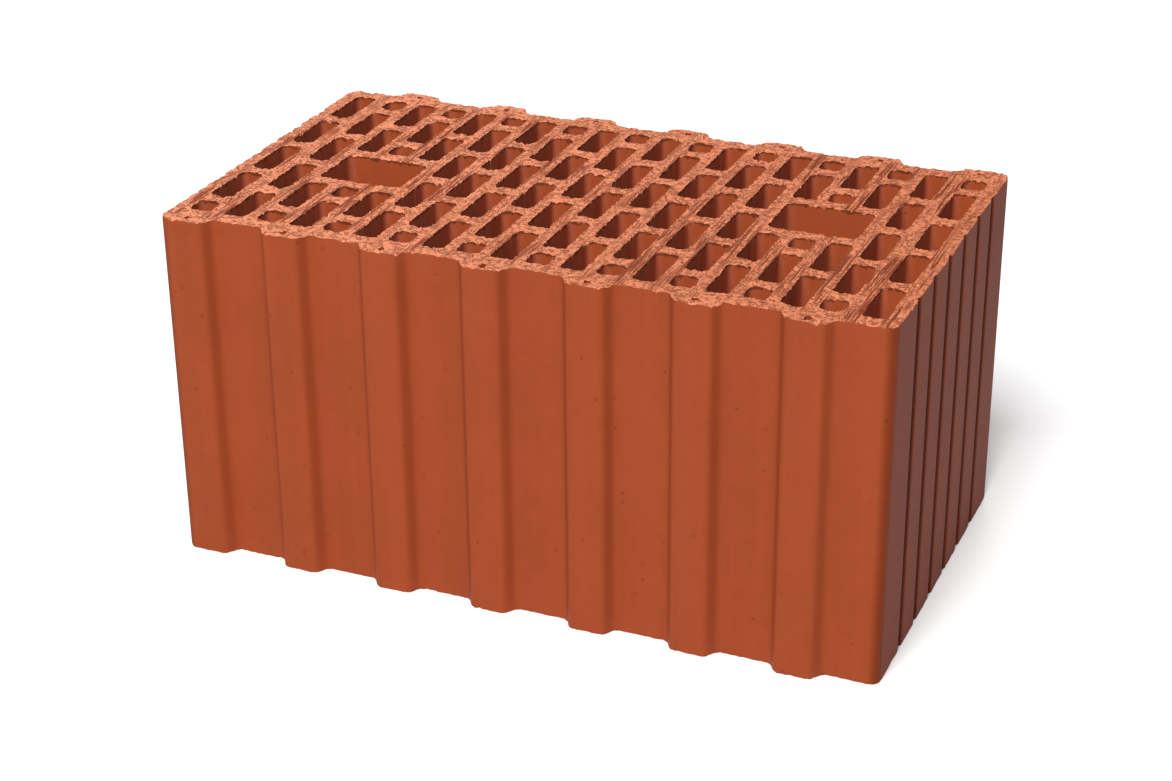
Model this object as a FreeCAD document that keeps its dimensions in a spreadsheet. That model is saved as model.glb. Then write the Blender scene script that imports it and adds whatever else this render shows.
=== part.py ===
"""Hollow clay block of the large tongue-and-groove format, for walls one block thick.

The block is a single fired piece, extruded along Z and cut to height with a wire. It lies
with its length across the wall: the tongues of both long faces enter the recesses of the
next blocks of the course, laid dry, and the grooved ends carry the plaster. All its slots,
grip holes and bores run from bed to bed. Half a turn about Z brings it onto itself, so each
feature is drawn once and repeated along its row and through that half turn.

Frame: millimetres, origin at the middle of the lower bed, X along the length,
-Y towards the front long face, +Z up.
"""

import FreeCAD
import Part
import Sketcher
import math
import os
import re

os.makedirs("parts", exist_ok=True)
doc = FreeCAD.newDocument("HollowClayBlock")

# Driving sizes in millimetres. The width is taken over the tongues of both long faces.
SIZES = {
    "block_length": 440,
    "block_width": 250,
    "block_height": 219,
    "corner_radius": 6.5,
    # tongues of the long faces, and the small bore in each of them
    "tongue_pitch": 62.6,
    "tongue_depth": 8,
    "tongue_root": 30.8,
    "tongue_tip": 21,
    "tip_radius": 2.8,
    "root_radius": 2.4,
    "pin_bore": 4,
    "pin_inset": 5.8,
    # plaster grooves of the two ends
    "groove_pitch": 31.3,
    "groove_mouth": 7.6,
    "groove_depth": 3.4,
    "groove_shift": 4.8,
    # walls and webs left between the holes
    "end_wall": 8.8,
    "end_web": 9.8,
    "side_wall": 10.2,
    "row_web": 8.9,
    "grip_web": 8.4,
    # slots, whose corners are cut off by this much both ways
    "slot_width": 14.1,
    "short_slot": 15.7,
    "corner_cut": 1.8,
}

# Columns of slots across the length, and grooves on each end.
COLUMNS = 20
GROOVES = 6

# What follows from the driving sizes.
DERIVED = {
    "half_length": "block_length / 2",
    "half_width": "block_width / 2",
    # the plane of the recesses, as far behind the tongue faces as a tongue is deep
    "recess_face": "half_width - tongue_depth",
    # as many tongues as the length takes; from this start, the half turn
    # sets each tongue opposite the middle of a recess
    "tongue_count": "round(block_length / tongue_pitch)",
    "first_tongue": "(tongue_pitch / 2 - tongue_count * tongue_pitch) / 2",
    # an end column stands behind a wider web, and the others share the rest evenly
    "end_column": "half_length - end_wall - slot_width / 2",
    "column_pitch": "2 * (end_column - slot_width - end_web) / %d" % (COLUMNS - 3),
    # four long slots and a short one fill each column
    "hole_reach": "recess_face - side_wall",
    "long_slot": "(2 * hole_reach - short_slot - 4 * row_web) / 4",
    "row_pitch": "long_slot + row_web",
    "first_long": "short_slot + row_web - hole_reach",
    "grip_width": "4 * column_pitch - slot_width - 2 * grip_web",
}

sheet = doc.addObject("Spreadsheet::Sheet", "Sizes")
for row, (alias, size) in enumerate(SIZES.items(), start=1):
    sheet.set("A%d" % row, alias)
    sheet.set("B%d" % row, str(size))
    sheet.setAlias("B%d" % row, alias)
for row, (alias, formula) in enumerate(DERIVED.items(), start=1):
    sheet.set("D%d" % row, alias)
    sheet.set("E%d" % row, "=" + formula)
    sheet.setAlias("E%d" % row, alias)
doc.recompute()

# The blank is the block before its holes. The cores are all that the clay flows around.
blank = doc.addObject("PartDesign::Body", "Blank")
cores = doc.addObject("PartDesign::Body", "Cores")
cores.AllowCompound = True


def in_sheet(formula):
    """The formula with each size's name pointing into the sheet."""

    def named(found):
        word = found.group()
        return "Sizes." + word if word in SIZES or word in DERIVED else word

    return re.sub(r"[a-z_]+", named, formula)


def value(formula):
    """What the formula comes to, so that a sketch is drawn where its dimensions will hold it."""
    return float(sheet.evalExpression(in_sheet(formula)))


def new_sketch(body, name):
    """A sketch on the lower bed."""
    sketch = body.newObject("Sketcher::SketchObject", name)
    bed = next(plane for plane in body.Origin.OriginFeatures if plane.Role == "XY_Plane")
    sketch.AttachmentSupport = [(bed, "")]
    sketch.MapMode = "FlatFace"
    return sketch


def constrain(sketch, rules, sizes):
    """Adds the rules, and dimensions that each follow a formula of the sheet."""
    dimensions = [Sketcher.Constraint(kind, *where, value(formula)) for kind, where, formula in sizes]
    indices = sketch.addConstraint(rules + dimensions)
    for index, (_, _, formula) in zip(indices[len(rules):], sizes):
        sketch.setExpression("Constraints[%d]" % index, in_sheet(formula))


def polygon(sketch, corners):
    """A closed outline through corners given as pairs of formulas."""
    points = [FreeCAD.Vector(value(x), value(y), 0) for x, y in corners]
    first = sketch.GeometryCount
    rules = []
    sizes = []
    for number, (x, y) in enumerate(corners):
        line = first + number
        following = (number + 1) % len(points)
        sketch.addGeometry(Part.LineSegment(points[number], points[following]), False)
        rules.append(Sketcher.Constraint("Coincident", line, 2, first + following, 1))
        sizes.append(("DistanceX", (-1, 1, line, 1), x))
        sizes.append(("DistanceY", (-1, 1, line, 1), y))
    constrain(sketch, rules, sizes)


def hole(sketch, middle_x, front_y, width, length):
    """A rectangle with cut corners, centred on middle_x and running back from front_y."""
    left, right = ("%s %s %s / 2" % (middle_x, sign, width) for sign in "-+")
    back_y = "%s + %s" % (front_y, length)
    polygon(sketch, [
        (left + " + corner_cut", front_y),
        (right + " - corner_cut", front_y),
        (right, front_y + " + corner_cut"),
        (right, back_y + " - corner_cut"),
        (right + " - corner_cut", back_y),
        (left + " + corner_cut", back_y),
        (left, back_y + " - corner_cut"),
        (left, front_y + " + corner_cut"),
    ])


def pad(body, name, sketch):
    """The sketch raised from bed to bed."""
    feature = body.newObject("PartDesign::Pad", name)
    feature.Profile = sketch
    feature.setExpression("Length", in_sheet("block_height"))
    return feature


def repeat(body, feature, sketch, axis=None, count="1", pitch="0"):
    """The feature repeated along its row, and the row through half a turn about Z."""
    whole = body.newObject("PartDesign::MultiTransform", feature.Name + "Repeated")
    whole.Originals = [feature]
    turned = body.newObject("PartDesign::PolarPattern", feature.Name + "HalfTurn")
    turned.Axis = (sketch, ["N_Axis"])
    turned.Angle = 360
    turned.Occurrences = 2
    steps = [turned]
    if axis:
        along = body.newObject("PartDesign::LinearPattern", feature.Name + "Row")
        along.Direction = (sketch, [axis])
        along.setExpression("Occurrences", in_sheet(count))
        along.setExpression("Length", in_sheet("(%s - 1) * %s" % (count, pitch)))
        steps.insert(0, along)
    whole.Transformations = steps
    body.Tip = whole
    doc.recompute()
    return whole


def round_upright_edges(name, radius, wanted):
    """Fillets on the blank's upright edges, chosen by whether they bound an end or a tongue face."""
    chosen = []
    for number, edge in enumerate(blank.Shape.Edges, start=1):
        x, y = (abs(edge.CenterOfMass[axis]) for axis in (0, 1))
        on_end = math.isclose(x, value("half_length"), abs_tol=0.01)
        on_face = math.isclose(y, value("half_width"), abs_tol=0.01)
        upright = edge.BoundBox.ZLength > value("block_height") / 2
        if upright and wanted(on_end, on_face):
            chosen.append("Edge%d" % number)
    base = blank.Tip
    fillet = blank.newObject("PartDesign::Fillet", name)
    fillet.Base = (base, chosen)
    fillet.setExpression("Radius", in_sheet(radius))
    blank.Tip = fillet
    doc.recompute()


# The outline: a tongue at the front left corner, and through the half turn one at the back
# right, each with a single flank. The recess beside it runs on to the other corner.
outline = new_sketch(blank, "Outline")
front_corners = [
    ("-half_length", "-half_width"),
    ("first_tongue + tongue_tip / 2", "-half_width"),
    ("first_tongue + tongue_root / 2", "-recess_face"),
    ("half_length", "-recess_face"),
]
polygon(outline, front_corners + [("-(%s)" % x, "-(%s)" % y) for x, y in front_corners])
pad(blank, "OutlinePad", outline)
doc.recompute()

# The other tongues, one pitch apart.
tongue = new_sketch(blank, "TongueOutline")
second_tongue = "first_tongue + tongue_pitch"
polygon(tongue, [
    (second_tongue + " - tongue_root / 2", "-recess_face"),
    (second_tongue + " - tongue_tip / 2", "-half_width"),
    (second_tongue + " + tongue_tip / 2", "-half_width"),
    (second_tongue + " + tongue_root / 2", "-recess_face"),
])
tongues = repeat(blank, pad(blank, "Tongue", tongue), tongue, "H_Axis", "tongue_count - 1",
                 "tongue_pitch")
tongues.Refine = True
doc.recompute()

round_upright_edges("Corners", "corner_radius", lambda on_end, on_face: on_end)
round_upright_edges("TongueTips", "tip_radius", lambda on_end, on_face: on_face and not on_end)
round_upright_edges("TongueRoots", "root_radius", lambda on_end, on_face: not on_face and not on_end)

# The plaster grooves of an end: a V whose flanks run on past the end face.
groove = new_sketch(cores, "GrooveOutline")
first_groove = "groove_shift - %g * groove_pitch" % ((GROOVES - 1) / 2)
polygon(groove, [
    ("half_length - groove_depth", first_groove),
    ("half_length + groove_depth", first_groove + " - groove_mouth"),
    ("half_length + groove_depth", first_groove + " + groove_mouth"),
])
repeat(cores, pad(cores, "Groove", groove), groove, "V_Axis", str(GROOVES), "groove_pitch")

# The bore in each tongue, which lets the thick clay there dry and fire evenly.
bore = new_sketch(cores, "BoreOutline")
bore_middle = FreeCAD.Vector(value("first_tongue"), value("pin_inset - half_width"), 0)
bore.addGeometry(Part.Circle(bore_middle, FreeCAD.Vector(0, 0, 1), value("pin_bore") / 2), False)
constrain(bore, [], [
    ("DistanceX", (-1, 1, 0, 3), "first_tongue"),
    ("DistanceY", (-1, 1, 0, 3), "pin_inset - half_width"),
    ("Diameter", (0,), "pin_bore"),
])
repeat(cores, pad(cores, "Bore", bore), bore, "H_Axis", "tongue_count", "tongue_pitch")


def column(number):
    """The middle of a column of slots. The columns count from the left end."""
    if number == 1:
        return "-end_column"
    return "%g * column_pitch" % (number - (COLUMNS + 1) / 2)


def long_start(row):
    """The front of a long slot in an odd column, whose rows count from the front."""
    return "first_long + %d * row_pitch" % row


def slots(name, long_slots=(), short_slots=(), count=1):
    """Slots of odd columns, the long ones at (column, row) and the short ones at (column, front)."""
    sketch = new_sketch(cores, name + "Outline")
    for number, row in long_slots:
        hole(sketch, column(number), long_start(row), "slot_width", "long_slot")
    for number, front in short_slots:
        hole(sketch, column(number), front, "slot_width", "short_slot")
    row_axis = "H_Axis" if count > 1 else None
    repeat(cores, pad(cores, name, sketch), sketch, row_axis, str(count), "2 * column_pitch")


# Each odd column has its short slot in front of four long ones. The half turn gives the
# even columns, which have it at the back. The left grip hole takes the place of a long slot
# in columns 3 and 5, and the right one leaves only the ends of two in column 17.
FRONT = "-hole_reach"
BEHIND_GRIP = long_start(2) + " + long_slot - short_slot"
slots("OuterRows", [(3, 0), (3, 3)], [(3, FRONT)], count=9)
slots("ThirdRow", [(3, 2)], count=7)
slots("SecondRow", [(7, 1)], count=5)
slots("EndColumn", [(1, row) for row in range(4)], [(1, FRONT)])
slots("BesideGrip", [(19, 1), (19, 2)], [(17, long_start(1)), (17, BEHIND_GRIP)])

# The grip holes, each as wide as three columns less its thicker webs.
grip = new_sketch(cores, "GripOutline")
hole(grip, column(4), long_start(1), "grip_width", "long_slot")
repeat(cores, pad(cores, "Grip", grip), grip)

# The block is what the cores leave of the blank.
block = doc.addObject("Part::Cut", "ClayBlock")
block.Label = "clay_block"
block.Base = blank
block.Tool = cores
doc.recompute()

for item in doc.Objects:
    if {"Invalid", "Error"} & set(item.State):
        raise RuntimeError("%s did not recompute" % item.Name)
if block.Shape.isNull() or not block.Shape.isValid() or len(block.Shape.Solids) != 1:
    raise RuntimeError("the block isn't one sound solid")

print("clay %.0f cm3, long slot %.2f mm, web between columns %.2f mm" % (
    block.Shape.Volume / 1000, value("long_slot"), value("column_pitch - slot_width")))
block.Shape.exportStep("parts/%s.step" % block.Label)
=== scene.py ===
import math
import random

import bmesh
import bpy
import numpy as np
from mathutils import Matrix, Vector
from mathutils.geometry import delaunay_2d_cdt


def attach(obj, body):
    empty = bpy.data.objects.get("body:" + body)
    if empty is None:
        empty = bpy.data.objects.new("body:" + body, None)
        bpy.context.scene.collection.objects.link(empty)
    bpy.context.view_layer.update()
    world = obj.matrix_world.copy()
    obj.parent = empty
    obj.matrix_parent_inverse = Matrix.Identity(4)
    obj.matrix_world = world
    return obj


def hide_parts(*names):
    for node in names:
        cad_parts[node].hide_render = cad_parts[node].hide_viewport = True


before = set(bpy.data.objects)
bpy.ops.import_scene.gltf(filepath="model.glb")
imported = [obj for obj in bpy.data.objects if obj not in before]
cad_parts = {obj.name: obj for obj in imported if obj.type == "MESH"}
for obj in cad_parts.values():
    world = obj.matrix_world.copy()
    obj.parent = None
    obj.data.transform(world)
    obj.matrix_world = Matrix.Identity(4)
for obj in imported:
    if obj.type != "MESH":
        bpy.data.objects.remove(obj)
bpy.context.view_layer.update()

# Sizes of the block in metres, the same as in its CAD source but for the softer tongue radii
# and the rounded corners of the holes
LENGTH, WIDTH, HEIGHT = 0.440, 0.250, 0.219
CORNER_RADIUS = 0.0065
TONGUES, TONGUE_PITCH, TONGUE_DEPTH, FIRST_TONGUE = 7, 0.0626, 0.008, -0.20345
TONGUE_ROOT, TONGUE_TIP, TIP_RADIUS, ROOT_RADIUS = 0.0308, 0.021, 0.0046, 0.0052
BORE_DIAMETER, BORE_LINE = 0.004, 0.1192
GROOVES, GROOVE_PITCH, FIRST_GROOVE = 6, 0.0313, -0.07345
GROOVE_MOUTH, GROOVE_DEPTH, GROOVE_LIP, GROOVE_ROOT = 0.0076, 0.0034, 0.0007, 0.0006
COLUMNS, SLOT_WIDTH, LONG_SLOT, SHORT_SLOT = 20, 0.0141, 0.040575, 0.0157
ROW_WEB, END_WEB, GRIP_WEB = 0.0089, 0.0098, 0.0084
END_COLUMN, HOLE_REACH = 0.20415, 0.1068
SLOT_CORNER, SHORT_CORNER, GRIP_CORNER, BORE_CORNER_SHARE = 0.0034, 0.0042, 0.0045, 0.48
ROW_PITCH = LONG_SLOT + ROW_WEB
COLUMN_PITCH = 2 * (END_COLUMN - SLOT_WIDTH - END_WEB) / (COLUMNS - 3)
FIRST_LONG = SHORT_SLOT + ROW_WEB - HOLE_REACH
GRIP_WIDTH = 4 * COLUMN_PITCH - SLOT_WIDTH - 2 * GRIP_WEB
GRIP_CENTRE = 6.5 * COLUMN_PITCH
GRIP_MIDDLE = FIRST_LONG + ROW_PITCH + LONG_SLOT / 2
BEHIND_GRIP = -(FIRST_LONG + ROW_PITCH) - SHORT_SLOT / 2
BEFORE_GRIP = -(FIRST_LONG + 2 * ROW_PITCH + LONG_SLOT) + SHORT_SLOT / 2

# Steps between mesh points: along the outline and the rims, and across and along a bed's webs
OUTLINE_STEP, RIM_STEP, BORE_STEP = 0.0026, 0.0013, 0.0009
UPPER_BED_STEPS, LOWER_BED_STEPS = (0.0012, 0.0021), (0.0024, 0.0042)
UPPER_BED_SEED, LOWER_BED_SEED = 11, 7

# The mesh rings next to the beds lie deeper than the deepest pit, so that no wall folds over
FIRST_RING, DEEPEST_PIT, CORE_OVERSHOOT = 0.0024, 0.0021, 0.0004

# How far from a bed the wire's raggedness and the clay it dragged reach
RAGGED_REACH, DRAG_REACH = 0.0026, 0.005

# Colours of the clay as linear values, and tints that multiply them
EXTRUDED_COLOUR = (0.272, 0.0485, 0.0125, 1)
WIRE_CUT_COLOUR = (0.88, 0.304, 0.16, 1)
# the end tint darkens both end faces: painted shade
END_SHADE_TINT = (0.66, 0.6, 0.5)
# the slot tints paint a bluish sheen on the holes' walls, and painted light and sheen on their long
# side walls
SLOT_SHEEN_TINT = (1.02, 1.14, 1.4)
SLOT_SIDE_LIGHT_AND_SHEEN_TINT = (1.27, 1.65, 2.6)
SPECK_TINT = (0.62, 0.5, 0.45)
# the crack tint paints shade into the beds' pits, cracks and furrows, and also darkens their specks
PIT_SHADE_AND_SPECK_TINT = (0.36, 0.22, 0.19)
# the fade along x paints the light and its sheen falling off along the beds
LIGHT_FALLOFF_ALONG_X = (-0.45, -0.7, -0.9)

# Past this angle between two faces an edge is shaded sharp; points closer than this are one
SHARP_EDGE, SAME_POINT = math.radians(38), 2e-7


def plug(tree, socket, value):
    """Links a socket to another one, or sets its constant."""
    if isinstance(value, bpy.types.NodeSocket):
        tree.links.new(value, socket)
    else:
        socket.default_value = value


def add(tree, kind, inputs=None, **settings):
    """Adds one node with its settings, and links or sets the named inputs."""
    node = tree.nodes.new(kind)
    for name, value in settings.items():
        setattr(node, name, value)
    for socket, value in (inputs or {}).items():
        plug(tree, node.inputs[socket], value)
    return node


def calc(tree, operation, *values, clamp=False):
    """The result of one Math node."""
    node = tree.nodes.new("ShaderNodeMath")
    node.operation, node.use_clamp = operation, clamp
    for socket, value in zip(node.inputs, values):
        plug(tree, socket, value)
    return node.outputs[0]


def vector(tree, x=0.0, y=0.0, z=0.0):
    return add(tree, "ShaderNodeCombineXYZ", {"X": x, "Y": y, "Z": z}).outputs[0]


def vector_math(tree, operation, *values):
    node = tree.nodes.new("ShaderNodeVectorMath")
    node.operation = operation
    for socket, value in zip(node.inputs, values):
        plug(tree, socket, value)
    return node.outputs[0]


def noise(tree, place, scale, detail=2.0, roughness=0.5, stretch=None):
    """Noise in metres of the block: scale is features per metre, stretch squeezes the axes."""
    if stretch:
        place = vector_math(tree, "MULTIPLY", place, stretch)
    return add(tree, "ShaderNodeTexNoise", {"Vector": place, "Scale": scale, "Detail": detail,
                                            "Roughness": roughness}).outputs[0]


def over(tree, value, threshold, gain):
    """gain times what stands above the threshold."""
    above = calc(tree, "MAXIMUM", calc(tree, "SUBTRACT", value, threshold), 0.0)
    return calc(tree, "MULTIPLY", above, gain)


def tint(tree, mask, shares):
    """A colour factor: 1 where the mask is 0, and the shares where it is 1."""
    return vector(tree, *(calc(tree, "MULTIPLY_ADD", mask, share - 1.0, 1.0) for share in shares))


def thin_lines(tree, value, width):
    """1 along the lines where a noise passes its middle, 0 further off than the width."""
    off = calc(tree, "ABSOLUTE", calc(tree, "SUBTRACT", value, 0.5))
    return calc(tree, "SUBTRACT", 1.0, calc(tree, "DIVIDE", off, width), clamp=True)


def rounded(corners):
    """A polygon whose corners (x, y, radius) are rounded, as points."""
    points = []
    for i, (x, y, radius) in enumerate(corners):
        here = Vector((x, y))
        before = (Vector(corners[i - 1][:2]) - here).normalized()
        after = (Vector(corners[(i + 1) % len(corners)][:2]) - here).normalized()
        half = before.angle(after) / 2
        centre = here + (before + after).normalized() * radius / math.sin(half)
        first = here + before * radius / math.tan(half) - centre
        last = here + after * radius / math.tan(half) - centre
        turn = math.atan2(first.x * last.y - first.y * last.x, first.dot(last))
        steps = 8 if radius > 0.006 else 5 if radius > 0.001 else 2
        for step in range(steps + 1):
            angle = math.atan2(first.y, first.x) + turn * step / steps
            points.append(centre + radius * Vector((math.cos(angle), math.sin(angle))))
    return points


def divided(points, spacing):
    """The same closed line with points no further apart than the spacing."""
    line = []
    for i, start in enumerate(points):
        end = points[(i + 1) % len(points)]
        parts = max(1, math.ceil((end - start).length / spacing))
        line += [start.lerp(end, k / parts) for k in range(parts)]
    return line


def block_outline():
    """The block's section from above, with tongues, end grooves and rounded corners."""
    tip, root, end = -WIDTH / 2, -WIDTH / 2 + TONGUE_DEPTH, LENGTH / 2
    side = [(-end, tip, CORNER_RADIUS)]
    for k in range(TONGUES):
        middle = FIRST_TONGUE + k * TONGUE_PITCH
        if k:
            side += [(middle - TONGUE_ROOT / 2, root, ROOT_RADIUS),
                     (middle - TONGUE_TIP / 2, tip, TIP_RADIUS)]
        side += [(middle + TONGUE_TIP / 2, tip, TIP_RADIUS),
                 (middle + TONGUE_ROOT / 2, root, ROOT_RADIUS)]
    side.append((end, root, CORNER_RADIUS))
    for k in range(GROOVES):
        y = FIRST_GROOVE + k * GROOVE_PITCH
        side += [(end, y - GROOVE_MOUTH / 2, GROOVE_LIP), (end - GROOVE_DEPTH, y, GROOVE_ROOT),
                 (end, y + GROOVE_MOUTH / 2, GROOVE_LIP)]
    return divided(rounded(side + [(-x, -y, r) for x, y, r in side]), OUTLINE_STEP)


def column_middle(i):
    """x of a slot column; the end columns stand a little further out."""
    if i in (0, COLUMNS - 1):
        return -END_COLUMN if i == 0 else END_COLUMN
    return (i - (COLUMNS - 1) / 2) * COLUMN_PITCH


def bed_lines(web_step):
    """x of a bed's mesh lines: close over the webs between columns, wider over the slots."""
    edges = [-LENGTH / 2]
    for i in range(COLUMNS):
        edges += [column_middle(i) - SLOT_WIDTH / 2, column_middle(i) + SLOT_WIDTH / 2]
    edges.append(LENGTH / 2)
    lines = []
    for i, (low, high) in enumerate(zip(edges, edges[1:])):
        parts = 4 if i % 2 else round((high - low) / web_step)
        lines += [low + (high - low) * (k + 0.5) / parts for k in range(parts)]
    return lines


def bed_triangles(line, web_step, row_step, seed):
    """Points and triangles that fill the outline; the first points are the outline's own."""
    shuffle = random.Random(seed)
    edge = np.array(line)
    rows = int(WIDTH / row_step)
    grid = np.array([(x, (k + 0.5 + shuffle.uniform(-0.2, 0.2)) * WIDTH / rows - WIDTH / 2)
                     for x in bed_lines(web_step) for k in range(rows)])
    inside = np.zeros(len(grid), bool)
    for (ax, ay), (bx, by) in zip(edge, np.roll(edge, -1, axis=0)):
        if ay != by:
            crosses = (ay > grid[:, 1]) != (by > grid[:, 1])
            inside ^= crosses & (grid[:, 0] < (bx - ax) * (grid[:, 1] - ay) / (by - ay) + ax)
    near_edge = (abs(grid[:, 0]) > LENGTH / 2 - 0.006) | (abs(grid[:, 1]) > WIDTH / 2 - 0.011)
    gaps = np.full(len(grid), 1.0)
    for k in np.nonzero(inside & near_edge)[0]:
        gaps[k] = np.hypot(edge[:, 0] - grid[k, 0], edge[:, 1] - grid[k, 1]).min()
    grid = grid[inside & (gaps > 0.0012)]
    loop = [(i, (i + 1) % len(line)) for i in range(len(line))]
    points, _, triangles, *_ = delaunay_2d_cdt(line + [Vector(p) for p in grid], loop, [], 1, 1e-7)
    return points, triangles


def blank_mesh():
    """The block before its slots: a wave-edged prism with finely meshed beds and rings near them."""
    line = block_outline()
    count = len(line)
    under, under_faces = bed_triangles(line, *LOWER_BED_STEPS, LOWER_BED_SEED)
    upper, upper_faces = bed_triangles(line, *UPPER_BED_STEPS, UPPER_BED_SEED)
    points = [(p.x, p.y, 0.0) for p in under] + [(p.x, p.y, HEIGHT) for p in upper]
    levels = [FIRST_RING, 0.005, 0.009, 0.03, 0.07]
    levels += [HEIGHT / 2] + [HEIGHT - z for z in reversed(levels)]
    rings = [0]
    for z in levels:
        rings.append(len(points))
        points += [(p.x, p.y, z) for p in line]
    rings.append(len(under))
    faces = [tuple(reversed(t)) for t in under_faces]
    faces += [tuple(len(under) + i for i in t) for t in upper_faces]
    for low, high in zip(rings, rings[1:]):
        for i in range(count):
            j = (i + 1) % count
            faces.append((low + i, low + j, high + j, high + i))
    mesh = bpy.data.meshes.new("clay_block_looks")
    mesh.from_pydata(points, [], faces)
    mesh.validate()
    return mesh


def core_prism(tree, height, width, length, radius, spacing=RIM_STEP):
    """A closed upright prism that cuts one hole: a rounded rectangle with a ring inside each bed."""
    shape = add(tree, "GeometryNodeCurvePrimitiveQuadrilateral", {"Width": width, "Height": length})
    shape = add(tree, "GeometryNodeFilletCurve",
                {"Curve": shape.outputs[0], "Radius": radius, "Count": 6}, mode="POLY")
    shape = add(tree, "GeometryNodeResampleCurve",
                {"Curve": shape.outputs[0], "Length": spacing}, mode="LENGTH")
    steps = add(tree, "GeometryNodeMeshLine", {"Count": 4, "Offset": (0.0, 0.0, 1.0)})
    index = add(tree, "GeometryNodeInputIndex").outputs[0]
    upper = calc(tree, "GREATER_THAN", index, 1.5)
    outer = calc(tree, "GREATER_THAN",
                 calc(tree, "ABSOLUTE", calc(tree, "SUBTRACT", index, 1.5)), 1.0)
    inset = calc(tree, "MULTIPLY_ADD", outer, -CORE_OVERSHOOT - FIRST_RING, FIRST_RING)
    level = choose(tree, upper, inset, calc(tree, "SUBTRACT", height, inset))
    path = add(tree, "GeometryNodeSetPosition",
               {"Geometry": steps.outputs[0], "Position": vector(tree, z=level)})
    path = add(tree, "GeometryNodeMeshToCurve", {"Mesh": path.outputs[0]})
    return add(tree, "GeometryNodeCurveToMesh",
               {"Curve": path.outputs[0], "Profile Curve": shape.outputs[0],
                "Fill Caps": True}).outputs[0]


def choose(tree, picked, no, yes):
    """One of two numbers, by a test."""
    return add(tree, "GeometryNodeSwitch", {"Switch": picked, "False": no, "True": yes},
               input_type="FLOAT").outputs[0]


def holes_at(tree, count, place, prism, keep_out=None):
    """Copies of a prism at worked-out places, less those that the keep-out test picks."""
    points = add(tree, "GeometryNodeMeshLine",
                 {"Count": count, "Offset": (0.0, 0.0, 0.0)}).outputs[0]
    points = add(tree, "GeometryNodeSetPosition",
                 {"Geometry": points, "Position": place}).outputs[0]
    if keep_out is not None:
        points = add(tree, "GeometryNodeDeleteGeometry",
                     {"Geometry": points, "Selection": keep_out}, domain="POINT").outputs[0]
    return add(tree, "GeometryNodeInstanceOnPoints", {"Points": points, "Instance": prism}).outputs[0]


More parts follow.
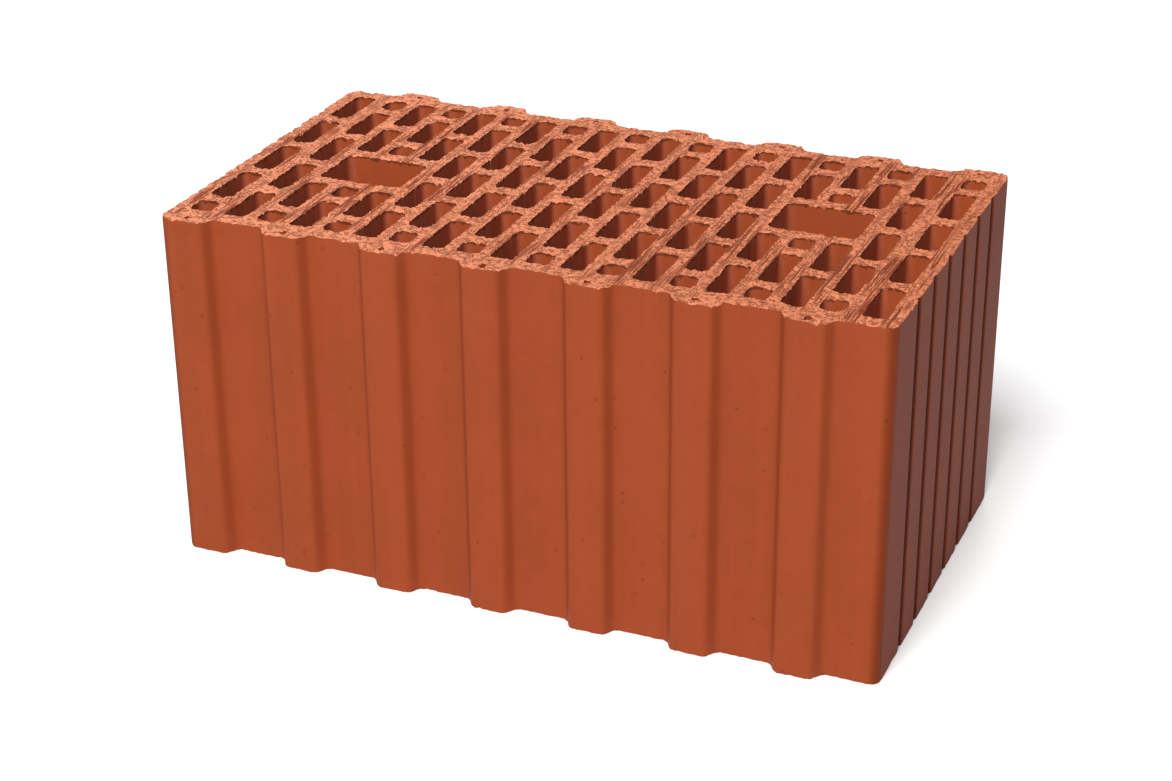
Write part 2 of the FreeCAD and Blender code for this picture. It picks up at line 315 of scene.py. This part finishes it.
def perforation_tree():
    """Cuts the slots, grips and bores out of the blank and roughens its wire-cut beds."""
    tree = bpy.data.node_groups.new("perforated_clay", "GeometryNodeTree")
    face = tree.interface
    face.new_socket(name="Blank", in_out="INPUT", socket_type="NodeSocketGeometry")
    for name, kind, value in INPUTS:
        made = face.new_socket(name=name, in_out="INPUT", socket_type=kind)
        if value is not None:
            made.default_value = value
    face.new_socket(name="Block", in_out="OUTPUT", socket_type="NodeSocketGeometry")
    given = tree.nodes.new("NodeGroupInput").outputs
    size = {name: given[name] for name, _, _ in INPUTS}
    index = add(tree, "GeometryNodeInputIndex").outputs[0]

    def column_place(column):
        """x of a column counted from 0, and 1 where its short slot is at the front, else -1."""
        last = calc(tree, "SUBTRACT", size["Columns"], 1.0)
        x = calc(tree, "MULTIPLY", calc(tree, "SUBTRACT", column, calc(tree, "DIVIDE", last, 2.0)),
                 size["Column Pitch"])
        x = choose(tree, calc(tree, "LESS_THAN", column, 0.5), x,
                   calc(tree, "MULTIPLY", size["End Column"], -1.0))
        x = choose(tree, calc(tree, "GREATER_THAN", column, calc(tree, "SUBTRACT", last, 0.5)), x,
                   size["End Column"])
        side = calc(tree, "MULTIPLY_ADD", calc(tree, "MODULO", column, 2.0), -2.0, 1.0)
        return x, side

    # long slots, four to a column, left out where a grip hole is
    column = calc(tree, "FLOOR", calc(tree, "DIVIDE", calc(tree, "ADD", index, 0.5), 4.0))
    row = calc(tree, "SUBTRACT", index, calc(tree, "MULTIPLY", column, 4.0))
    x, side = column_place(column)
    start = calc(tree, "MULTIPLY_ADD", row, size["Row Pitch"], size["First Long Slot"])
    y = calc(tree, "MULTIPLY", side, calc(tree, "MULTIPLY_ADD", size["Long Slot"], 0.5, start))
    beside = calc(tree, "SUBTRACT", calc(tree, "ABSOLUTE", x), size["Grip Centre"])
    turned = calc(tree, "MULTIPLY", y, calc(tree, "MULTIPLY", calc(tree, "SIGN", x), -1.0))
    beyond = calc(tree, "SUBTRACT", turned, size["Grip Middle"])
    clash_x = calc(tree, "LESS_THAN", calc(tree, "ABSOLUTE", beside),
                   calc(tree, "DIVIDE", size["Grip Width"], 2.0))
    clash_y = calc(tree, "LESS_THAN", calc(tree, "ABSOLUTE", beyond),
                   calc(tree, "SUBTRACT", size["Long Slot"], 0.001))
    holes = [holes_at(tree, calc(tree, "MULTIPLY", size["Columns"], 4.0), vector(tree, x, y),
                      core_prism(tree, size["Height"], size["Slot Width"], size["Long Slot"],
                                 size["Slot Corner"]),
                      calc(tree, "MULTIPLY", clash_x, clash_y))]

    # short slots, one at the end of each column and two beside each grip hole
    short = core_prism(tree, size["Height"], size["Slot Width"], size["Short Slot"],
                       size["Short Corner"])
    x, side = column_place(index)
    y = calc(tree, "MULTIPLY", side,
             calc(tree, "SUBTRACT", calc(tree, "DIVIDE", size["Short Slot"], 2.0),
                  size["Hole Reach"]))
    holes.append(holes_at(tree, size["Columns"], vector(tree, x, y), short))
    turn = calc(tree, "MULTIPLY_ADD", calc(tree, "LESS_THAN", index, 1.5), -2.0, 1.0)
    other = calc(tree, "GREATER_THAN", calc(tree, "MODULO", index, 2.0), 0.5)
    y = choose(tree, other, size["Behind Grip"], size["Before Grip"])
    x = calc(tree, "MULTIPLY", size["Grip Centre"], turn)
    y = calc(tree, "MULTIPLY", calc(tree, "MULTIPLY", turn, -1.0), y)
    holes.append(holes_at(tree, 4, vector(tree, x, y), short))

    # grip holes, and the bores in the tongues of both faces
    turn = calc(tree, "MULTIPLY_ADD", index, 2.0, -1.0)
    grip = core_prism(tree, size["Height"], size["Grip Width"], size["Long Slot"],
                      size["Grip Corner"])
    x = calc(tree, "MULTIPLY", size["Grip Centre"], turn)
    y = calc(tree, "MULTIPLY", calc(tree, "MULTIPLY", turn, -1.0), size["Grip Middle"])
    holes.append(holes_at(tree, 2, vector(tree, x, y), grip))
    back = calc(tree, "GREATER_THAN", index, calc(tree, "SUBTRACT", size["Tongues"], 0.5))
    turn = calc(tree, "MULTIPLY_ADD", back, -2.0, 1.0)
    number = calc(tree, "SUBTRACT", index, calc(tree, "MULTIPLY", back, size["Tongues"]))
    x = calc(tree, "MULTIPLY_ADD", number, size["Tongue Pitch"], size["First Tongue"])
    bore = core_prism(tree, size["Height"], size["Bore Diameter"], size["Bore Diameter"],
                      calc(tree, "MULTIPLY", size["Bore Diameter"], BORE_CORNER_SHARE), BORE_STEP)
    x = calc(tree, "MULTIPLY", x, turn)
    y = calc(tree, "MULTIPLY", calc(tree, "MULTIPLY", size["Bore Line"], -1.0), turn)
    bores = calc(tree, "MULTIPLY", size["Tongues"], 2.0)
    holes.append(holes_at(tree, bores, vector(tree, x, y), bore))
    cores = tree.nodes.new("GeometryNodeJoinGeometry")
    for hole in holes:
        tree.links.new(hole, cores.inputs[0])
    cores = add(tree, "GeometryNodeRealizeInstances", {"Geometry": cores.outputs[0]}).outputs[0]

    normal = add(tree, "GeometryNodeInputNormal").outputs[0]
    place = add(tree, "GeometryNodeInputPosition").outputs[0]
    px, py, pz = add(tree, "ShaderNodeSeparateXYZ", {"Vector": place}).outputs[:3]
    seeded = vector_math(tree, "ADD", place, vector(tree, z=size["Seed"]))
    half_length, half_width, half_height = (calc(tree, "DIVIDE", size[name], 2.0)
                                            for name in ("Length", "Width", "Height"))
    below = calc(tree, "SUBTRACT", half_height,
                 calc(tree, "ABSOLUTE", calc(tree, "SUBTRACT", pz, half_height)))

    def sideways(distance):
        return vector_math(tree, "MULTIPLY", normal, vector(tree, distance, distance, 0.0))

    # the wire pulls ragged rims at the holes, most on two of their sides, and breaks the outer
    # edges
    near = calc(tree, "SUBTRACT", 1.0, calc(tree, "DIVIDE", below, RAGGED_REACH), clamp=True)
    coarse = calc(tree, "SUBTRACT", noise(tree, seeded, 150.0, 1.0), 0.5)
    fine = calc(tree, "SUBTRACT", noise(tree, seeded, 680.0, 1.0), 0.5)
    ragged = calc(tree, "MULTIPLY", calc(tree, "MULTIPLY_ADD", coarse, 0.25, fine), near)
    nx, ny, nz = add(tree, "ShaderNodeSeparateXYZ", {"Vector": normal}).outputs[:3]
    pulled = calc(tree, "MULTIPLY_ADD", calc(tree, "ADD", nx, ny), -0.45, 0.6, clamp=True)
    torn_rim = calc(tree, "MULTIPLY", calc(tree, "MULTIPLY", ragged, pulled), size["Rim Break"])
    cores = add(tree, "GeometryNodeSetPosition",
                {"Geometry": cores, "Offset": sideways(torn_rim)}).outputs[0]
    broken = calc(tree, "MULTIPLY", calc(tree, "MINIMUM", ragged, 0.0), size["Rim Break"])
    blank = add(tree, "GeometryNodeSetPosition",
                {"Geometry": given["Blank"], "Offset": sideways(broken)}).outputs[0]

    # it drags clay over the end grooves, then the cores are cut out
    groove = calc(tree, "SUBTRACT", half_length, calc(tree, "ABSOLUTE", px))
    dragged = calc(tree, "SUBTRACT", 1.0, calc(tree, "DIVIDE", below, DRAG_REACH), clamp=True)
    in_groove = calc(tree, "MULTIPLY", groove,
                     calc(tree, "LESS_THAN", groove, size["Groove Depth"]))
    filled = calc(tree, "MULTIPLY", in_groove,
                  calc(tree, "MULTIPLY", dragged, size["Groove Fill"]))
    at_end = calc(tree, "LESS_THAN", calc(tree, "ABSOLUTE", py),
                  calc(tree, "MULTIPLY", half_width, 0.88))
    outwards = calc(tree, "MULTIPLY", calc(tree, "SIGN", px), filled)
    blank = add(tree, "GeometryNodeSetPosition",
                {"Geometry": blank, "Selection": at_end,
                 "Offset": vector(tree, outwards)}).outputs[0]
    block = add(tree, "GeometryNodeMeshBoolean", {"Mesh 1": blank, "Mesh 2": cores},
                operation="DIFFERENCE", solver="MANIFOLD").outputs[0]

    # wire-cut faces are those that look straight up or down
    up = calc(tree, "ABSOLUTE", nz)
    block = add(tree, "GeometryNodeStoreNamedAttribute",
                {"Geometry": block, "Name": "wire_cut",
                 "Value": calc(tree, "GREATER_THAN", up, 0.9)},
                data_type="FLOAT", domain="FACE").outputs[0]
    cut = add(tree, "GeometryNodeInputNamedAttribute", {"Name": "wire_cut"},
              data_type="FLOAT").outputs[0]
    on_bed = calc(tree, "LESS_THAN", below, 0.00002)

    # torn strips that the wire leaves along the webs between columns and the end walls
    wander = calc(tree, "SUBTRACT", noise(tree, seeded, 22.0, 1.0), 0.5)
    wander = calc(tree, "MULTIPLY", wander, 0.004)
    wide = calc(tree, "ABSOLUTE", calc(tree, "ADD", px, wander))
    phase = calc(tree, "FRACT", calc(tree, "ADD", calc(tree, "DIVIDE", wide, size["Column Pitch"]),
                                     calc(tree, "DIVIDE", size["Columns"], 2.0)))
    off = calc(tree, "MULTIPLY", calc(tree, "ABSOLUTE", calc(tree, "SUBTRACT", phase, 0.5)),
               size["Column Pitch"])
    last_web = calc(tree, "SUBTRACT", size["End Column"],
                    calc(tree, "DIVIDE", size["Column Pitch"], 2.0))
    off = choose(tree, calc(tree, "GREATER_THAN", wide, last_web), off,
                 calc(tree, "ABSOLUTE", calc(tree, "SUBTRACT", wide, size["End Column"])))
    web = calc(tree, "SUBTRACT", off, calc(tree, "DIVIDE", size["Slot Width"], 2.0))
    strip = calc(tree, "MULTIPLY", calc(tree, "GREATER_THAN", web, -0.0006),
                 calc(tree, "LESS_THAN", web, 0.0072))
    patch = over(tree, noise(tree, seeded, 1.0, 1.0, 0.5, (48.0, 13.0, 9.0)), 0.44, 7.0)
    patch = calc(tree, "MULTIPLY_ADD", calc(tree, "MINIMUM", patch, 1.0), 0.7, 0.3)
    ends = calc(tree, "MULTIPLY_ADD", calc(tree, "ABSOLUTE", px), 2.6, 0.55)
    torn = calc(tree, "MULTIPLY", calc(tree, "MULTIPLY", strip, patch), ends, clamp=True)
    margin = calc(tree, "SUBTRACT", calc(tree, "SUBTRACT", half_width, 0.004),
                  calc(tree, "ABSOLUTE", py))
    torn = calc(tree, "MULTIPLY", torn, calc(tree, "MULTIPLY", margin, 110.0, clamp=True))
    block = add(tree, "GeometryNodeStoreNamedAttribute",
                {"Geometry": block, "Name": "torn", "Value": calc(tree, "MULTIPLY", torn, on_bed)},
                data_type="FLOAT", domain="POINT").outputs[0]
    torn = add(tree, "GeometryNodeInputNamedAttribute", {"Name": "torn"},
               data_type="FLOAT").outputs[0]
    furrow = over(tree, noise(tree, seeded, 1.0, 1.0, 0.5, (460.0, 13.0, 13.0)), 0.5, 3.5)

    # grain, pits and furrows sink into the beds, and chips leave the rims
    rim = calc(tree, "LESS_THAN", cut, 0.93)
    grain = over(tree, noise(tree, seeded, 330.0, 2.0, 0.6), 0.36, 1.0)
    pits = over(tree, noise(tree, seeded, 170.0, 1.0), 0.6, 4.5)
    chips = over(tree, noise(tree, seeded, 380.0, 1.0), 0.5, 2.4)
    sunk = calc(tree, "MULTIPLY_ADD", rim, chips, calc(tree, "ADD", grain, pits))
    sunk = calc(tree, "MULTIPLY", sunk, size["Grain Depth"])
    sunk = calc(tree, "MULTIPLY_ADD", calc(tree, "MULTIPLY", torn, furrow), size["Tear Depth"], sunk)
    sunk = calc(tree, "MINIMUM", sunk, size["Deepest Pit"])
    down = calc(tree, "MULTIPLY", calc(tree, "SIGN", calc(tree, "SUBTRACT", half_height, pz)), sunk)
    block = add(tree, "GeometryNodeSetPosition",
                {"Geometry": block, "Selection": on_bed, "Offset": vector(tree, z=down)}).outputs[0]

    # nothing stands proud of the block's own length, width and height
    here = add(tree, "GeometryNodeInputPosition").outputs[0]
    low = vector(tree, calc(tree, "MULTIPLY", half_length, -1.0),
                 calc(tree, "MULTIPLY", half_width, -1.0), 0.0)
    high = vector(tree, half_length, half_width, size["Height"])
    held = vector_math(tree, "MAXIMUM", vector_math(tree, "MINIMUM", here, high), low)
    block = add(tree, "GeometryNodeSetPosition", {"Geometry": block, "Position": held}).outputs[0]
    block = add(tree, "GeometryNodeRealizeInstances", {"Geometry": block}).outputs[0]
    block = add(tree, "GeometryNodeSetMaterial",
                {"Geometry": block, "Material": size["Extruded Finish"]}).outputs[0]
    block = add(tree, "GeometryNodeSetMaterial",
                {"Geometry": block, "Selection": calc(tree, "GREATER_THAN", cut, 0.5),
                 "Material": size["Wire Cut Finish"]}).outputs[0]
    add(tree, "NodeGroupOutput", {"Block": block})
    return tree


FLOAT, COUNT, FINISH = "NodeSocketFloat", "NodeSocketInt", "NodeSocketMaterial"
INPUTS = [
    ("Length", FLOAT, LENGTH), ("Width", FLOAT, WIDTH), ("Height", FLOAT, HEIGHT),
    ("Columns", COUNT, COLUMNS), ("Column Pitch", FLOAT, COLUMN_PITCH),
    ("End Column", FLOAT, END_COLUMN), ("Slot Width", FLOAT, SLOT_WIDTH),
    ("Long Slot", FLOAT, LONG_SLOT), ("Short Slot", FLOAT, SHORT_SLOT),
    ("Row Pitch", FLOAT, ROW_PITCH), ("First Long Slot", FLOAT, FIRST_LONG),
    ("Hole Reach", FLOAT, HOLE_REACH), ("Slot Corner", FLOAT, SLOT_CORNER),
    ("Short Corner", FLOAT, SHORT_CORNER), ("Grip Corner", FLOAT, GRIP_CORNER),
    ("Grip Width", FLOAT, GRIP_WIDTH), ("Grip Centre", FLOAT, GRIP_CENTRE),
    ("Grip Middle", FLOAT, GRIP_MIDDLE), ("Behind Grip", FLOAT, BEHIND_GRIP),
    ("Before Grip", FLOAT, BEFORE_GRIP), ("Tongues", COUNT, TONGUES),
    ("Tongue Pitch", FLOAT, TONGUE_PITCH), ("First Tongue", FLOAT, FIRST_TONGUE),
    ("Bore Diameter", FLOAT, BORE_DIAMETER), ("Bore Line", FLOAT, BORE_LINE),
    ("Groove Depth", FLOAT, GROOVE_DEPTH), ("Grain Depth", FLOAT, 0.0019),
    ("Tear Depth", FLOAT, 0.0008), ("Deepest Pit", FLOAT, DEEPEST_PIT),
    ("Rim Break", FLOAT, 0.0016), ("Groove Fill", FLOAT, 0.6), ("Seed", FLOAT, 3.7),
    ("Extruded Finish", FINISH, None), ("Wire Cut Finish", FINISH, None),
]


def blended(tree, mask, plain_colour, masked_colour):
    """One colour where the mask is 0 and another where it is 1."""
    node = add(tree, "ShaderNodeMix", {"Factor": mask}, data_type="VECTOR")
    for name, colour in (("A", plain_colour), ("B", masked_colour)):
        # a Mix node has one socket of each name for each kind of data; this is the vector one
        plug(tree, [s for s in node.inputs if s.name == name and s.type == "VECTOR"][-1], colour)
    return [s for s in node.outputs if s.type == "VECTOR"][-1]


def clay_body_group():
    """The fired body that both finishes share: patchy colour, specks and fine grain."""
    tree = bpy.data.node_groups.new("clay_body", "ShaderNodeTree")
    for name, kind, value in (("Colour", "NodeSocketColor", (0.5, 0.2, 0.1, 1)),
                              ("Patchiness", FLOAT, 0.1), ("Grain Scale", FLOAT, 900.0),
                              ("Speck Scale", FLOAT, 420.0), ("Speck Amount", FLOAT, 0.3)):
        tree.interface.new_socket(name=name, in_out="INPUT", socket_type=kind).default_value = value
    for name, kind in (("Colour", "NodeSocketColor"), ("Grain", FLOAT), ("Specks", FLOAT)):
        tree.interface.new_socket(name=name, in_out="OUTPUT", socket_type=kind)
    given = tree.nodes.new("NodeGroupInput").outputs
    place = add(tree, "ShaderNodeTexCoord").outputs["Object"]
    clouds = noise(tree, place, 17.0, 3.0, 0.55)
    mottle = noise(tree, place, 130.0, 2.0, 0.6)
    shade = calc(tree, "ADD", calc(tree, "SUBTRACT", clouds, 0.5),
                 calc(tree, "MULTIPLY", calc(tree, "SUBTRACT", mottle, 0.5), 0.7))
    shade = calc(tree, "MULTIPLY_ADD", shade, given["Patchiness"], 1.0)
    grain = noise(tree, place, given["Grain Scale"], 3.0, 0.7)
    specks = add(tree, "ShaderNodeTexVoronoi", {"Vector": place, "Scale": given["Speck Scale"],
                                                "Randomness": 1.0}, feature="F1")
    spot = calc(tree, "SUBTRACT", 1.0, calc(tree, "DIVIDE", specks.outputs["Distance"], 0.34),
                clamp=True)
    which = add(tree, "ShaderNodeSeparateColor", {"Color": specks.outputs["Color"]}).outputs[0]
    spot = calc(tree, "MULTIPLY", spot, calc(tree, "LESS_THAN", which, given["Speck Amount"]))
    toned = vector_math(tree, "MULTIPLY", given["Colour"], vector(tree, shade, shade, shade))
    dark = vector_math(tree, "MULTIPLY", toned, SPECK_TINT)
    add(tree, "NodeGroupOutput", {"Colour": blended(tree, spot, toned, dark),
                                  "Grain": grain, "Specks": spot})
    return tree


def fired_clay(name, body, colour, patchiness, grain_scale, speck_scale, speck_amount):
    """A clay material with the shared body, as far as its colour and grain."""
    material = bpy.data.materials.new(name)
    material.use_nodes = True
    tree = material.node_tree
    shader = tree.nodes["Principled BSDF"]
    clay = add(tree, "ShaderNodeGroup", node_tree=body)
    for socket, value in (("Colour", colour), ("Patchiness", patchiness),
                          ("Grain Scale", grain_scale), ("Speck Scale", speck_scale),
                          ("Speck Amount", speck_amount)):
        clay.inputs[socket].default_value = value
    return material, tree, shader, clay


def extruded_finish(body):
    """Faces that slid through the die: satin and redder, with painted light in the slots and browner
    painted shade on the ends.
    """
    material, tree, shader, clay = fired_clay("extruded_clay", body, EXTRUDED_COLOUR, patchiness=0.2,
                                              grain_scale=700.0, speck_scale=240.0,
                                              speck_amount=0.025)
    place = add(tree, "ShaderNodeTexCoord").outputs["Object"]
    x, y, z = add(tree, "ShaderNodeSeparateXYZ", {"Vector": place}).outputs[:3]
    x, y = calc(tree, "ABSOLUTE", x), calc(tree, "ABSOLUTE", y)
    drag = noise(tree, place, 1.0, 3.0, 0.6, (260.0, 260.0, 3.5))
    broad = noise(tree, place, 1.0, 2.0, 0.5, (46.0, 46.0, 2.0))
    tone = calc(tree, "MULTIPLY_ADD", calc(tree, "SUBTRACT", drag, 0.5), 0.12, 1.0)
    tone = calc(tree, "MULTIPLY_ADD", calc(tree, "SUBTRACT", broad, 0.5), 0.14, tone)
    # inside the holes the walls are painted a third paler: painted light
    inside = calc(tree, "MULTIPLY", calc(tree, "LESS_THAN", x, END_COLUMN + SLOT_WIDTH / 2 + 0.001),
                  calc(tree, "LESS_THAN", y, HOLE_REACH + 0.001))
    tone = calc(tree, "MULTIPLY_ADD", inside, 0.32, tone)

    # painted shadow: a thin broken dark line under the lip that the wire dragged over each hole
    below = calc(tree, "SUBTRACT", HEIGHT / 2,
                 calc(tree, "ABSOLUTE", calc(tree, "SUBTRACT", z, HEIGHT / 2)))
    lip_shadow = calc(tree, "MULTIPLY_ADD", noise(tree, place, 300.0, 2.0), 0.006, -0.001)
    lip_shadow = calc(tree, "DIVIDE", calc(tree, "SUBTRACT", lip_shadow, below), 0.0004, clamp=True)
    lip_shadow = calc(tree, "MULTIPLY", lip_shadow, inside)
    tone = calc(tree, "MULTIPLY", tone, calc(tree, "MULTIPLY_ADD", lip_shadow, -0.5, 1.0))

    # the ends, browner and darker as painted shade and less shiny, and painted shade in their grooves
    on_end = calc(tree, "DIVIDE", calc(tree, "SUBTRACT", x, LENGTH / 2 - CORNER_RADIUS), 0.0042,
                  clamp=True)
    # the end grooves are darkened inside: painted shade
    in_groove = calc(tree, "DIVIDE", calc(tree, "SUBTRACT", LENGTH / 2, x), 0.0008, clamp=True)
    in_groove = calc(tree, "MULTIPLY", in_groove,
                     calc(tree, "GREATER_THAN", x, LENGTH / 2 - GROOVE_DEPTH - 0.001))
    in_groove = calc(tree, "MULTIPLY", in_groove, calc(tree, "LESS_THAN", y, 0.1))
    tone = calc(tree, "MULTIPLY", tone, calc(tree, "MULTIPLY_ADD", in_groove, -0.65, 1.0))
    colour = vector_math(tree, "MULTIPLY", clay.outputs["Colour"], vector(tree, tone, tone, tone))
    colour = vector_math(tree, "MULTIPLY", colour, tint(tree, on_end, END_SHADE_TINT))

    # painted sheen makes the slots' walls bluer, and painted light and sheen make their long side
    # walls paler and greyer than their end walls
    colour = vector_math(tree, "MULTIPLY", colour, tint(tree, inside, SLOT_SHEEN_TINT))
    facing = add(tree, "ShaderNodeSeparateXYZ",
                 {"Vector": add(tree, "ShaderNodeTexCoord").outputs["Normal"]}).outputs[0]
    beside = calc(tree, "MULTIPLY", calc(tree, "ABSOLUTE", facing), inside)
    colour = vector_math(tree, "MULTIPLY", colour, tint(tree, beside, SLOT_SIDE_LIGHT_AND_SHEEN_TINT))
    plug(tree, shader.inputs["Base Color"], colour)
    plug(tree, shader.inputs["Roughness"],
         calc(tree, "MULTIPLY_ADD", clay.outputs["Grain"], 0.25, 0.46))
    height = calc(tree, "MULTIPLY", clay.outputs["Grain"], 0.35)
    height = calc(tree, "MULTIPLY_ADD", drag, 0.6, height)
    height = calc(tree, "MULTIPLY_ADD", clay.outputs["Specks"], -0.6, height)
    bump = add(tree, "ShaderNodeBump", {"Strength": 0.5, "Distance": 0.00016, "Height": height})
    plug(tree, shader.inputs["Normal"], bump.outputs[0])
    plug(tree, shader.inputs["Specular IOR Level"],
         calc(tree, "MULTIPLY_ADD", on_end, -0.06, 0.14))
    return material


def wire_cut_finish(body):
    """Beds that the wire cut: dull, paler, full of small curved cracks, with furrows where torn."""
    material, tree, shader, clay = fired_clay("wire_cut_clay", body, WIRE_CUT_COLOUR, patchiness=0.26,
                                              grain_scale=1300.0, speck_scale=400.0,
                                              speck_amount=0.25)
    place = add(tree, "ShaderNodeTexCoord").outputs["Object"]
    along = add(tree, "ShaderNodeSeparateXYZ", {"Vector": place}).outputs[0]
    torn = add(tree, "ShaderNodeAttribute", attribute_name="torn").outputs["Fac"]

    # long fine furrows darkened with painted shade, with ridges beside them paled with painted light
    comb = noise(tree, place, 1.0, 2.0, 0.6, (470.0, 11.0, 11.0))
    broken = over(tree, noise(tree, place, 1.0, 1.0, 0.5, (260.0, 40.0, 40.0)), 0.4, 7.0)
    furrows = calc(tree, "MULTIPLY", thin_lines(tree, comb, 0.09),
                   calc(tree, "MINIMUM", broken, 1.0))
    furrows = calc(tree, "MULTIPLY", calc(tree, "MULTIPLY", furrows, torn), 2.0, clamp=True)
    ridges = over(tree, calc(tree, "ABSOLUTE", calc(tree, "SUBTRACT", comb, 0.5)), 0.12, 12.0)
    ridges = calc(tree, "MULTIPLY", calc(tree, "MINIMUM", ridges, 1.0), torn)

    # short curved cracks and small pits darkened with painted shade, pale crests between them as
    # painted light, and darker specks
    cracks = thin_lines(tree, noise(tree, place, 540.0, 2.0, 0.6), 0.11)
    where = over(tree, noise(tree, place, 340.0, 1.0), 0.47, 12.0)
    cracks = calc(tree, "MULTIPLY", cracks, calc(tree, "MINIMUM", where, 1.0))
    lumps = noise(tree, place, 680.0, 3.0, 0.7)
    pocked = calc(tree, "MINIMUM", over(tree, lumps, 0.57, 13.0), 1.0)
    crests = over(tree, calc(tree, "SUBTRACT", 1.0, lumps), 0.52, 8.0)
    crests = calc(tree, "MINIMUM", crests, 1.0)
    dark = calc(tree, "MAXIMUM", calc(tree, "MULTIPLY", pocked, 0.38), furrows)
    dark = calc(tree, "MAXIMUM", dark, calc(tree, "MULTIPLY", cracks, 0.8))
    dark = calc(tree, "MAXIMUM", dark, calc(tree, "MULTIPLY", clay.outputs["Specks"], 0.65))

    # painted light: paler and pinker towards one end, redder towards the other
    painted_falloff = vector(tree, *(calc(tree, "MULTIPLY_ADD", along, slope, 1.0) for slope in LIGHT_FALLOFF_ALONG_X))
    tone = calc(tree, "MULTIPLY_ADD", calc(tree, "SUBTRACT", clay.outputs["Grain"], 0.5), 0.9, 1.0)
    tone = calc(tree, "MULTIPLY_ADD", ridges, 0.22, calc(tree, "MULTIPLY_ADD", crests, 0.07, tone))
    lit = vector_math(tree, "MULTIPLY", clay.outputs["Colour"], vector(tree, tone, tone, tone))
    lit = vector_math(tree, "MULTIPLY", lit, painted_falloff)
    deep = vector_math(tree, "MULTIPLY", lit, PIT_SHADE_AND_SPECK_TINT)
    plug(tree, shader.inputs["Base Color"], blended(tree, dark, lit, deep))
    plug(tree, shader.inputs["Roughness"],
         calc(tree, "MULTIPLY_ADD", clay.outputs["Grain"], 0.2, 0.8))
    height = calc(tree, "MULTIPLY", clay.outputs["Grain"], 0.7)
    height = calc(tree, "MULTIPLY_ADD", ridges, 0.5, height)
    height = calc(tree, "SUBTRACT", height, calc(tree, "MULTIPLY", lumps, 0.8))
    height = calc(tree, "SUBTRACT", height,
                  calc(tree, "MULTIPLY", calc(tree, "MAXIMUM", furrows, cracks), 0.5))
    bump = add(tree, "ShaderNodeBump", {"Strength": 1.0, "Distance": 0.0015, "Height": height})
    plug(tree, shader.inputs["Normal"], bump.outputs[0])
    shader.inputs["Specular IOR Level"].default_value = 0.08
    return material


def drop_folds(mesh):
    """Removes the pairs of triangles that the cut leaves back to back on the same three points."""
    work = bmesh.new()
    work.from_mesh(mesh)
    bmesh.ops.triangulate(work, faces=[face for face in work.faces if len(face.verts) > 3])
    bmesh.ops.remove_doubles(work, verts=work.verts, dist=SAME_POINT)
    on_points = {}
    for face in work.faces:
        on_points.setdefault(frozenset(face.verts), []).append(face)
    folds = [face for faces in on_points.values() if len(faces) % 2 == 0 for face in faces]
    bmesh.ops.delete(work, geom=folds, context="FACES")
    work.to_mesh(mesh)
    work.free()


def make_block(extruded, wire_cut):
    """The perforated block: the blank, cut and roughened by the perforation tree, as a plain mesh."""
    blank = bpy.data.objects.new("blank", blank_mesh())
    bpy.context.scene.collection.objects.link(blank)
    tree = perforation_tree()
    maker = blank.modifiers.new("perforation", "NODES")
    maker.node_group = tree
    finishes = {"Extruded Finish": extruded, "Wire Cut Finish": wire_cut}
    sizes = {name: value for name, _, value in INPUTS}
    for item in tree.interface.items_tree:
        if item.in_out == "INPUT" and item.name in sizes:
            maker[item.identifier] = finishes.get(item.name, sizes[item.name])
    bpy.context.view_layer.update()
    done = blank.evaluated_get(bpy.context.evaluated_depsgraph_get())
    mesh = bpy.data.meshes.new_from_object(done)
    mesh.name = "clay_block_looks"
    drop_folds(mesh)
    mesh.shade_smooth()
    mesh.set_sharp_from_angle(angle=SHARP_EDGE)
    bpy.data.objects.remove(blank)
    block = bpy.data.objects.new("clay_block_looks", mesh)
    bpy.context.scene.collection.objects.link(block)
    return block


def plain(name, colour, roughness):
    """A dull material of one colour."""
    material = bpy.data.materials.new(name)
    material.use_nodes = True
    shader = material.node_tree.nodes["Principled BSDF"]
    shader.inputs["Base Color"].default_value = colour
    shader.inputs["Roughness"].default_value = roughness
    shader.inputs["Specular IOR Level"].default_value = 0.1
    return material


def sheet(name, corners, material):
    """A flat piece of the studio."""
    mesh = bpy.data.meshes.new(name)
    mesh.from_pydata(corners, [], [tuple(range(len(corners)))])
    mesh.materials.append(material)
    made = bpy.data.objects.new(name, mesh)
    bpy.context.scene.collection.objects.link(made)


def soft_light(name, place, aim, size, power):
    """A round area light in metres and watts, aimed at a point."""
    data = bpy.data.lights.new(name, "AREA")
    data.shape, data.size, data.energy = "DISK", size, power
    lamp = bpy.data.objects.new(name, data)
    lamp.location = place
    lamp.rotation_euler = (Vector(aim) - Vector(place)).to_track_quat("-Z", "Y").to_euler()
    bpy.context.scene.collection.objects.link(lamp)


body = clay_body_group()
block = make_block(extruded_finish(body), wire_cut_finish(body))
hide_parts("clay_block")
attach(block, "root")

REACH = 6
pale = plain("pale_studio", (0.96, 0.96, 0.96, 1), 0.9)
sheet("floor", [(-REACH, -REACH, 0), (REACH, -REACH, 0), (REACH, REACH, 0), (-REACH, REACH, 0)],
      pale)

scene = bpy.context.scene
world = bpy.data.worlds.new("studio")
world.use_nodes = True
world.node_tree.nodes["Background"].inputs["Color"].default_value = (1, 1, 1, 1)
world.node_tree.nodes["Background"].inputs["Strength"].default_value = 0.12
scene.world = world
scene.view_settings.view_transform = "Standard"
AIM = (0, 0, 0.1)
soft_light("key", (0.35, -4.8, 6.3), AIM, size=4.0, power=850)
soft_light("back_fill", (-0.6, 5.0, 4.2), AIM, size=3.5, power=110)

# the camera fitted to the photo's outlines and rows of slots
view = bpy.data.cameras.new("view")
view.lens, view.sensor_width = 73.79, 36
view.clip_start, view.clip_end = 0.05, 40
camera = bpy.data.objects.new("view", view)
camera.location = (0.51351, -1.21912, 0.73717)
camera.rotation_euler = (1.116118, 0.007056, 0.398560)
scene.collection.objects.link(camera)
scene.camera = camera

bpy.context.view_layer.update()
